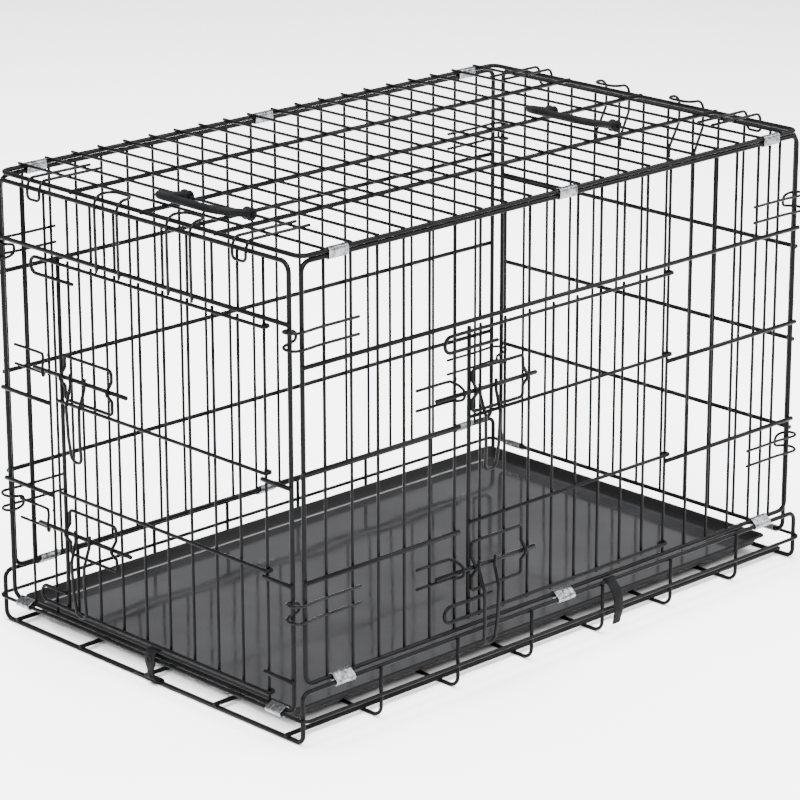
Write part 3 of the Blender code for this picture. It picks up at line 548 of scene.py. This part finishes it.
def door(shape, at, out, hinge, curl_sign, rails, edge, tip, leg_ends, legs_z, fills, fill_span, latches, guide):
    """Rails ending in curls round the hinge upright, edge wire, fill wires and guide frames. at maps (along, out, z)."""
    for i, z in enumerate(rails):
        # curl: from the rail plane round the hinge upright
        c = []
        for k in range(19):
            a = math.radians(255.0) * k / 18
            c.append((hinge + curl_sign * 4.0 * math.sin(a), 4.0 * math.cos(a), z))
        if i == 3:
            head = [(u, out, w) for u, w in hairpin(leg_ends[1], tip, z, legs_z[1])]
        elif i == 0:
            head = [(u, out, w) for u, w in hairpin(leg_ends[0], tip, z, legs_z[0])]
        else:
            head = [(edge - curl_sign * 2.6, out, z)]
        shape.tube([at(*p) for p in head + c], R_RAIL, 14)
        for x in fills + [edge]:
            shape.blob(at(x, out - 1.7, z), (1.9, 1.9, 2.0))
    shape.tube([at(edge, out - 3.4, fill_span[0]), at(edge, out - 3.4, fill_span[1])], 2.3, 12)
    for x in fills:
        shape.tube([at(x, out - 3.2, fill_span[0]), at(x, out - 3.2, fill_span[1])], R_FILL, 10)
    for z, g0, g1 in latches:
        a, b = guide
        yi, yo = out - 0.1, HANDLE_OUT + 1.5
        pts = [(a, yi, g0), (b, yi, g0), (b, yi, z - 10.5), (b, yo, z), (b, yi, z + 10.5), (b, yi, g1), (a, yi, g1),
               (a, yi, z + 10.5), (a, yo, z), (a, yi, z - 10.5)]
        shape.tube([at(*p) for p in fillet(pts, 4.2, 6, True)], R_GUIDE, 12, closed=True)
        for x in fills:
            if min(a, b) < x < max(a, b):
                for g in (g0, g1):
                    shape.blob(at(x, out - 1.7, g), (1.8, 1.8, 1.7))


def build_doors():
    s = Shape()
    fills = [x for x in FILL_X if FD_FIX + 1 < x < FD_HINGE - 1]
    door(s, front_at, 4.0, FD_HINGE, 1, FD_RAILS, FD_EDGE, FD_TIP, (-110.0, -104.0), (92.0, 368.5), fills, (69.5, 390.5), FRONT_LATCH, FRONT_GUIDE)
    put("front_door_panel", s, M_WIRE, ["front_door"])
    s = Shape()
    fills = [y for y in FILL_Y if LD_HINGE + 1 < y < LD_FIX - 1]
    door(s, left_at, 4.0, LD_HINGE, -1, LD_RAILS, LD_EDGE, LD_TIP, (131.0, 103.0), (61.5, 413.0), fills, (39.5, 435.5), LEFT_LATCH, LEFT_GUIDE)
    put("left_door_panel", s, M_WIRE, ["left_door"])


def handle_line(l0, l1, z):
    m = 0.5 * (l0 + l1)
    s = 1.0 if l0 > l1 else -1.0
    return [(l0 + s * 0.6, z + 8.0), (l0, z - 4.0), (m + s * 10.6, z - 26.0), (m + s * 9.4, z - 60.0), (m + s * 8.0, z - 86.5),
            (m - s * 8.0, z - 86.5), (m - s * 9.4, z - 60.0), (m - s * 10.6, z - 26.0), (l1, z - 4.0), (l1 - s * 0.6, z + 8.0)]


def build_latches():
    for row, at, rod, legs, side in ((FRONT_LATCH, front_at, FRONT_ROD, FRONT_LEGS, "front"), (LEFT_LATCH, left_at, LEFT_ROD, LEFT_LEGS, "left")):
        for tag, (z, _, _) in zip(("upper", "lower"), row):
            s = Shape()
            s.tube([at(rod[0], ROD_OUT, z), at(rod[1], ROD_OUT, z)], R_ROD, 16)
            put("%s_%s_bolt" % (side, tag), s, M_ROD, ["%s_%s_rod" % (side, tag)])
            s = Shape()
            # the legs bow outwards below the bolt and come back at the loop
            bow = [0.0, 0.5, 7.6, 7.0, 4.2, 4.2, 7.0, 7.6, 0.5, 0.0]
            pts = [at(u, HANDLE_OUT + o, w) for (u, w), o in zip(handle_line(*legs, z), bow)]
            s.tube(fillet(pts, 7.5, 8), R_GUIDE, 14)
            for u in legs:
                s.blob(at(u, HANDLE_OUT - 1.5, z), (1.5, 1.5, 1.5))
            put("%s_%s_pull" % (side, tag), s, M_ROD, ["%s_%s_handle" % (side, tag)])


# ---------------------------------------------------------------- zinc ferrules
def ferrule(axis, at, p, q, half):
    """A crimped oval sleeve round two wires, with pressed ribs, a seam and turned edges."""
    p, q = Vector(p), Vector(q)
    d = (q - p).normalized()
    base = math.atan2(d.y, d.x)
    prof = []
    for c, a0 in ((q, base - math.pi / 2), (p, base + math.pi / 2)):
        for k in range(15):
            a = a0 + math.pi * k / 14
            prof.append((c, Vector((math.cos(a), math.sin(a)))))
    seam = 21
    stations = [(-half, CLIP_IN, 0), (-half, CLIP_OUT - 0.35, 0), (-half + 0.3, CLIP_OUT - 0.02, 0)]
    n = int(2 * half / 0.5)
    for k in range(1, n):
        t = -half + 0.3 + (2 * half - 0.6) * k / n
        edge = min(1.0, (half - abs(t)) / 2.2)
        stations.append((t, CLIP_OUT - 0.52 * edge * (0.5 - 0.5 * math.cos(2 * math.pi * t / 4.3)) ** 1.5, 1))
    stations += [(half - 0.3, CLIP_OUT - 0.02, 0), (half, CLIP_OUT - 0.35, 0), (half, CLIP_IN, 0), (0.0, CLIP_IN, 0)]
    rings = []
    for t, r, body in stations:
        ring = []
        for i, (c, n2) in enumerate(prof):
            rr = r
            if r > CLIP_IN + 0.1 and i == seam:
                rr = r - 0.32
            pt = c + n2 * rr
            ring.append((at + t, pt.x, pt.y) if axis == "x" else (pt.x, at + t, pt.y))
        rings.append(ring)
    s = Shape()
    s.loft(rings, closed=True)
    return s


def build_clips():
    for side, sg in (("front", -1), ("back", 1)):
        for k, x in enumerate(CLIP_X):
            put("base_ferrule_%s_%d" % (side, k + 1), ferrule("x", x, (sg * BASE_Y, BASE_Z), (sg * SIDE_Y, SIDE_Z0), CLIP_HALF), M_ZINC,
                ["base_clip_%s_%d" % (side, k + 1)])
            put("top_ferrule_%s_%d" % (side, k + 1), ferrule("x", x, (sg * SIDE_Y, SIDE_Z1), (sg * SIDE_Y, TOP_Z), CLIP_HALF), M_ZINC,
                ["top_clip_%s_%d" % (side, k + 1)])
    for side, sg in (("left", -1), ("right", 1)):
        for k, y in enumerate((-CLIP_Y, CLIP_Y)):
            put("end_ferrule_%s_%d" % (side, k + 1), ferrule("y", y, (sg * MID_X, MID_Z), (sg * END_X, END_Z0), CLIP_END_HALF), M_ZINC,
                ["end_clip_%s_%d" % (side, k + 1)])


# ---------------------------------------------------------------- hooks and spring loops
def build_hooks():
    for sx, xn in ((-1, "left"), (1, "right")):
        for sy, yn in ((-1, "front"), (1, "back")):
            for tag, z1, z2 in (("upper", 434.0, 416.0), ("lower", 149.8, 131.8)):
                half = [(299.0, 239.8, z1), (325.0, 239.8, z1), (352.0, 239.8, z1), (366.0, 241.1, z1), (380.0, 241.6, z1), (386.4, 237.6, z1),
                        (388.8, 231.0, z1 - 0.4), (386.8, 224.8, z1 - 0.9), (380.5, 221.6, z1 - 1.6), (373.0, 221.8, z1 - 3.2),
                        (369.0, 222.8, z1 - 6.0)]
                pts = [(sx * a, sy * b, c) for a, b, c in half]
                pts += [(sx * a, sy * b, z1 + z2 - c) for a, b, c in reversed(half)]
                s = Shape()
                s.tube(smooth(pts, 4), R_FILL, 12)
                put("corner_hook_wire_%s_%s_%s" % (xn, yn, tag), s, M_HOOK, ["corner_hook_%s_%s_%s" % (xn, yn, tag)])
        for tag, ya, yb in (("a", -172.0, -152.0), ("b", 152.0, 172.0)):
            z = CROSS_Z + R_FILL + GAP + R_FILL
            pts = [(sx * 302.0, ya, z), (sx * 383.5, ya, z), (sx * 387.2, ya, 504.0), (sx * 387.2, ya, 493.0),
                   (sx * 387.2, yb, 493.0), (sx * 387.2, yb, 504.0), (sx * 383.5, yb, z), (sx * 302.0, yb, z)]
            s = Shape()
            s.tube(fillet(pts, 9.4, 8), R_FILL, 12)
            put("top_hook_wire_%s_%s" % (xn, tag), s, M_HOOK, ["top_hook_%s_%s" % (xn, tag)])
        for tag, ya, yb in (("a", -87.0, -51.0), ("b", 27.0, 63.0)):
            xo = sx * (END_X + R_FRAME + GAP + R_FILL)
            if sx < 0:
                # left: legs lapped on the thick bar above the door
                foot = [(sx * (END_X + LAP + R_FRAME + 0.9), ya - 4.0, LEFT_TOP_BAR - 6.0), (sx * (END_X + LAP + R_FRAME + 0.9), yb - 4.0, LEFT_TOP_BAR - 6.0)]
            else:
                # right: legs lapped on the nearest uprights
                na, nb = [min(FILL_Y, key=lambda f, q=q: abs(f - q)) for q in (ya, yb)]
                foot = [(sx * (END_X + 2.9), na, 440.0), (sx * (END_X + 2.9), nb, 440.0)]
            knee = [(sx * (END_X + 2.9), foot[0][1], 452.0), (sx * (END_X + 2.9), foot[1][1], 452.0)] if sx > 0 else []
            pts = [foot[0]] + knee[:1] + [(xo, ya, 484.0), (xo, ya, 516.0), (sx * 362.0, ya, 516.6), (sx * 362.0, yb, 516.6), (xo, yb, 516.0),
                                          (xo, yb, 484.0)] + knee[1:] + [foot[1]]
            s = Shape()
            s.tube(fillet(pts, 12.5, 10), R_FILL, 12)
            for q in foot:
                s.blob((q[0] - sx * 1.2, q[1], q[2] + 5.0), (1.3, 2.2, 3.4))
            put("spring_loop_wire_%s_%s" % (xn, tag), s, M_HOOK, ["end_spring_loop_%s_%s" % (xn, tag)])


# ---------------------------------------------------------------- tray
def rounded_loop(hx, hy, r, z, per=10, nx=26, ny=16):
    """Points of a rounded rectangle about the tray's centre, with even steps on its straight edges."""
    out = []
    cor = [(hx - r, hy - r, 0.0), (-hx + r, hy - r, math.pi / 2), (-hx + r, -hy + r, math.pi), (hx - r, -hy + r, 1.5 * math.pi)]
    for i, (cx, cy, a0) in enumerate(cor):
        for k in range(per + 1):
            a = a0 + 0.5 * math.pi * k / per
            out.append((TRAY_AT[0] + cx + r * math.cos(a), TRAY_AT[1] + cy + r * math.sin(a), z))
        nxt = cor[(i + 1) % 4]
        a = a0 + 0.5 * math.pi
        s0 = (TRAY_AT[0] + cx + r * math.cos(a), TRAY_AT[1] + cy + r * math.sin(a))
        s1 = (TRAY_AT[0] + nxt[0] + r * math.cos(a), TRAY_AT[1] + nxt[1] + r * math.sin(a))
        n = nx if i % 2 == 0 else ny
        for k in range(1, n):
            f = k / n
            out.append((s0[0] + (s1[0] - s0[0]) * f, s0[1] + (s1[1] - s0[1]) * f, z))
    return out


def build_tray():
    s = Shape()
    z0, z1 = TRAY_Z0, TRAY_Z1
    # (inset from the rim's outer edge, height, corner radius): outside up, over the rim, inside down to the floor
    prof = [(18.0, z0, 14.0), (14.0, z0 + 0.1, 15.0), (12.2, z0 + 0.7, 15.5), (11.2, z0 + 2.0, 16.0), (4.6, z1 - 4.2, 16.5), (3.4, z1 - 2.6, 16.8),
            (2.6, z1 - 2.0, 17.0), (1.0, z1 - 1.9, 18.0), (0.3, z1 - 2.2, 18.4), (0.0, z1 - 1.5, 18.6), (0.2, z1 - 0.6, 18.5), (0.8, z1 - 0.05, 18.0),
            (1.8, z1, 17.5), (3.0, z1 - 0.1, 17.0), (3.8, z1 - 0.6, 16.5), (4.3, z1 - 1.6, 16.2), (4.9, z1 - 3.8, 15.8), (8.4, z0 + 5.2, 14.6),
            (9.2, z0 + 3.3, 14.2), (10.8, z0 + 2.0, 13.6), (13.0, z0 + 1.5, 12.8), (17.0, z0 + 1.4, 11.0)]
    rings = [rounded_loop(TRAY_X - i, TRAY_Y - i, 0.4 * r, z) for i, z, r in prof]
    s.loft(rings, caps=False)
    m = len(rings[0])
    inner = rings[-1]
    steps = [0.93, 0.86, 0.78, 0.69, 0.6, 0.5, 0.4, 0.3, 0.2, 0.1]
    zf = z0 + 1.4

    def wave(x, y):
        f = max(0.0, min(1.0, min((TRAY_X - 17 - abs(x - TRAY_AT[0])) / 60.0, (TRAY_Y - 17 - abs(y - TRAY_AT[1])) / 60.0)))
        return 0.32 * f * (math.sin(x / 61.0 + 0.7) * math.cos(y / 47.0 - 0.4) + 0.5 * math.sin(x / 23.0 + y / 31.0))

    floor_rings = [inner]
    for f in steps:
        floor_rings.append([(TRAY_AT[0] + (x - TRAY_AT[0]) * f, TRAY_AT[1] + (y - TRAY_AT[1]) * f,
                             zf + wave(TRAY_AT[0] + (x - TRAY_AT[0]) * f, TRAY_AT[1] + (y - TRAY_AT[1]) * f)) for x, y, _ in inner])
    verts = [p for r in floor_rings for p in r] + [(TRAY_AT[0], TRAY_AT[1], zf + wave(*TRAY_AT))]
    faces = []
    for i in range(len(floor_rings) - 1):
        for k in range(m):
            kk = (k + 1) % m
            faces.append((i * m + k, i * m + kk, (i + 1) * m + kk, (i + 1) * m + k))
    last = (len(floor_rings) - 1) * m
    for k in range(m):
        faces.append((last + k, last + (k + 1) % m, len(verts) - 1))
    s.add(verts, faces)
    # underside
    verts = list(rings[0]) + [(TRAY_AT[0], TRAY_AT[1], z0)]
    s.add(verts, [((k + 1) % m, k, m) for k in range(m)])
    # join the shared loops
    ob = put("tray_pan", s, M_TRAY, ["tray"])
    me = ob.data
    import bmesh
    bm = bmesh.new()
    bm.from_mesh(me)
    bmesh.ops.remove_doubles(bm, verts=bm.verts, dist=1e-6)
    bmesh.ops.recalc_face_normals(bm, faces=bm.faces)
    bm.to_mesh(me)
    bm.free()


# ---------------------------------------------------------------- carry handles
def lathe_y(shape, xc, zc, y0, prof, sides=28):
    """Closed ring of revolution about an axis along Y; prof is (offset along y, radius)."""
    rings = []
    for dy, r in prof:
        rings.append([(xc + r * math.cos(2 * math.pi * k / sides), y0 + dy, zc - r * math.sin(2 * math.pi * k / sides)) for k in range(sides)])
    shape.loft(rings, closed=True)


def build_carry():
    for tag, xc in zip(("left", "right"), CARRY_X):
        ca, sa = math.cos(CARRY_TILT), math.sin(CARRY_TILT)
        y0, y1 = CARRY_Y
        s = Shape()
        line = [(xc - 4.4 * ca, y0, CROSS_Z + 4.4 * sa), (xc - CARRY_LEN * ca, y0 - 1.0, CROSS_Z + CARRY_LEN * sa),
                (xc - CARRY_LEN * ca, y1 + 1.0, CROSS_Z + CARRY_LEN * sa), (xc - 4.4 * ca, y1, CROSS_Z + 4.4 * sa)]
        path = fillet(line, 17.0, 12)
        s.tube(path, 4.3, 20)
        for y in (y0, y1):
            lathe_y(s, xc, CROSS_Z, y, [(-5.5, 2.2), (-5.5, 5.8), (-5.2, 6.5), (-4.6, 6.9), (-3.2, 7.0), (-2.7, 6.5), (2.7, 6.5), (3.2, 7.0),
                                        (4.6, 6.9), (5.2, 6.5), (5.5, 5.8), (5.5, 2.2)])
        put("carry_grip_" + tag, s, M_HANDLE, ["carry_handle_" + tag])


# ---------------------------------------------------------------- tray stops
def strap(shape, line, thick, width_at, at):
    """A moulded strap of even thickness along a path in a plane, with rounded edges. at maps (u, w, v)."""
    pts = [Vector((p[0], p[1], 0.0)) for p in line]
    total = [0.0]
    for i in range(1, len(pts)):
        total.append(total[-1] + (pts[i] - pts[i - 1]).length)
    rings = []
    n = len(pts)
    h = thick / 2
    for i, p in enumerate(pts):
        t = (pts[min(i + 1, n - 1)] - pts[max(i - 1, 0)]).normalized()
        nrm = Vector((-t.y, t.x, 0))
        w = width_at(total[i] / total[-1], p)
        k = 0.75 if i in (0, n - 1) else 1.0
        ring = []
        e = min(0.5, h * 0.7)
        for a, b in ((w - e, h), (w - 0.15 * e, h - 0.3 * e), (w, h - e), (w, -h + e), (w - 0.15 * e, -h + 0.3 * e), (w - e, -h),
                     (-w + e, -h), (-w + 0.15 * e, -h + 0.3 * e), (-w, -h + e), (-w, h - e), (-w + 0.15 * e, h - 0.3 * e), (-w + e, h)):
            q = p + nrm * (b * k)
            ring.append(at(q.x, a * (0.96 if i in (0, n - 1) else 1.0), q.y))
        rings.append(ring)
    shape.loft(rings)


def arc(cu, cv, radius, n, a0, a1):
    return [(cu + radius * math.cos(a0 + (a1 - a0) * k / n), cv + radius * math.sin(a0 + (a1 - a0) * k / n), 0.0) for k in range(n + 1)]


def build_stops():
    yc = -14.0
    line = arc(-BASE_X, 2.5, R_FRAME + 1.4, 12, math.radians(-20), math.radians(150))
    line += fillet([line[-1], (-390.6, 8.0, 0), (-391.4, 20.0, 0), (-391.6, 31.0, 0), (-390.0, 37.6, 0), (-386.0, 39.2, 0), (-379.4, 38.6, 0)], 3.0, 6)[1:]
    fine = []
    for i in range(len(line) - 1):
        a, b = Vector(line[i]), Vector(line[i + 1])
        k = max(1, int((b - a).length / 1.2))
        fine += [a + (b - a) * (j / k) for j in range(k)]
    fine.append(Vector(line[-1]))
    s = Shape()
    strap(s, [(p.x, p.y) for p in fine], 2.0, lambda f, p: 7.6 - 3.0 * math.exp(-((p.y - 16.0) / 6.5) ** 2), lambda u, w, v: (u, yc + w, v))
    # raised eye on the strap's head and a small grip knob at its foot
    eye = [(-392.5, yc + 3.4 * math.cos(2 * math.pi * k / 20), 30.0 + 3.4 * math.sin(2 * math.pi * k / 20)) for k in range(20)]
    s.tube(eye, 0.85, 8, closed=True)
    s.tube([(-390.4, yc, 9.6), (-392.6, yc, 9.2)], 2.1, 14)
    put("tray_stop_strap_left", s, M_HANDLE, ["tray_stop_left"])

    line = arc(-BASE_Y, BASE_Z, R_FRAME + 1.1, 16, math.radians(-75), math.radians(195))
    line += fillet([line[-1], (-252.4, 50.0, 0), (-256.2, 40.0, 0), (-257.4, 26.0, 0), (-253.6, 10.0, 0)], 6.0, 6)[1:]
    fine = []
    for i in range(len(line) - 1):
        a, b = Vector(line[i]), Vector(line[i + 1])
        k = max(1, int((b - a).length / 1.2))
        fine += [a + (b - a) * (j / k) for j in range(k)]
    fine.append(Vector(line[-1]))
    s = Shape()
    strap(s, [(p.x, p.y) for p in fine], 1.5, lambda f, p: 7.0 - 1.6 * max(0.0, (30.0 - p.y) / 20.0), lambda u, w, v: (70.0 + w, u, v))
    put("tray_stop_flap_front", s, M_HANDLE, ["tray_stop_front"])


build_base()
build_front_side()
build_back_side()
build_top()
build_end(True)
build_end(False)
build_doors()
build_latches()
build_clips()
build_hooks()
build_tray()
build_carry()
build_stops()


# ---------------------------------------------------------------- floor, light and camera
def build_stage():
    me = bpy.data.meshes.new("floor")
    n, half = 12, 9.0
    verts = [(-half + 2 * half * i / n, -half + 2 * half * j / n, 0.0) for j in range(n + 1) for i in range(n + 1)]
    faces = [(j * (n + 1) + i, j * (n + 1) + i + 1, (j + 1) * (n + 1) + i + 1, (j + 1) * (n + 1) + i) for j in range(n) for i in range(n)]
    me.from_pydata(verts, [], faces)
    ob = bpy.data.objects.new("studio_floor", me)
    bpy.context.scene.collection.objects.link(ob)
    m, nt, b = new_material("pale_floor", (0.9, 0.9, 0.9), 0.75)
    c = coords(nt)
    nt.links.new(tint(nt, noise(nt, c, 1.3, 2.0), (0.89, 0.89, 0.89), (0.91, 0.91, 0.91)), b.inputs["Base Color"])
    b.inputs["Specular IOR Level"].default_value = 0.1
    me.materials.append(m)
    ob.location.z = -0.0002


def area(name, loc, target, size, power):
    li = bpy.data.lights.new(name, "AREA")
    li.shape = "RECTANGLE"
    li.size, li.size_y = size
    li.energy = power
    ob = bpy.data.objects.new(name, li)
    ob.location = loc
    ob.rotation_euler = (Vector(target) - Vector(loc)).to_track_quat("-Z", "Y").to_euler()
    ob.visible_glossy = name != "top"
    bpy.context.scene.collection.objects.link(ob)


build_stage()
w = bpy.data.worlds.new("studio")
bpy.context.scene.world = w
w.use_nodes = True
bg = w.node_tree.nodes["Background"]
bg.inputs["Color"].default_value = (1.0, 1.0, 1.0, 1.0)
bg.inputs["Strength"].default_value = 0.55
area("key", (-1.8, -2.4, 3.0), (0, 0, 0.2), (2.0, 1.6), 330.0)
area("fill", (2.6, -1.6, 2.6), (0, 0, 0.2), (1.8, 1.6), 150.0)
area("top", (0.0, 0.6, 3.4), (0, 0.4, 0.0), (3.6, 3.6), 900.0)

cam = bpy.data.cameras.new("camera")
cam.lens = 152.01
cam.sensor_width = 36.0
cam.clip_start, cam.clip_end = 0.05, 60.0
ob = bpy.data.objects.new("camera", cam)
az, el, roll = 0.767174, 0.314993, -0.00229
fwd = Vector((math.sin(az) * math.cos(el), math.cos(az) * math.cos(el), -math.sin(el)))
right = Vector((math.cos(az), -math.sin(az), 0.0))
up = right.cross(fwd)
r2 = right * math.cos(roll) + up * math.sin(roll)
u2 = -right * math.sin(roll) + up * math.cos(roll)
mat = Matrix((r2, u2, -fwd)).transposed().to_4x4()
mat.translation = Vector((-2.48353 + 0.00189, -2.56266 + 0.001205, 1.38601))
ob.matrix_world = mat
bpy.context.scene.collection.objects.link(ob)
bpy.context.scene.camera = ob

bpy.context.view_layer.update()
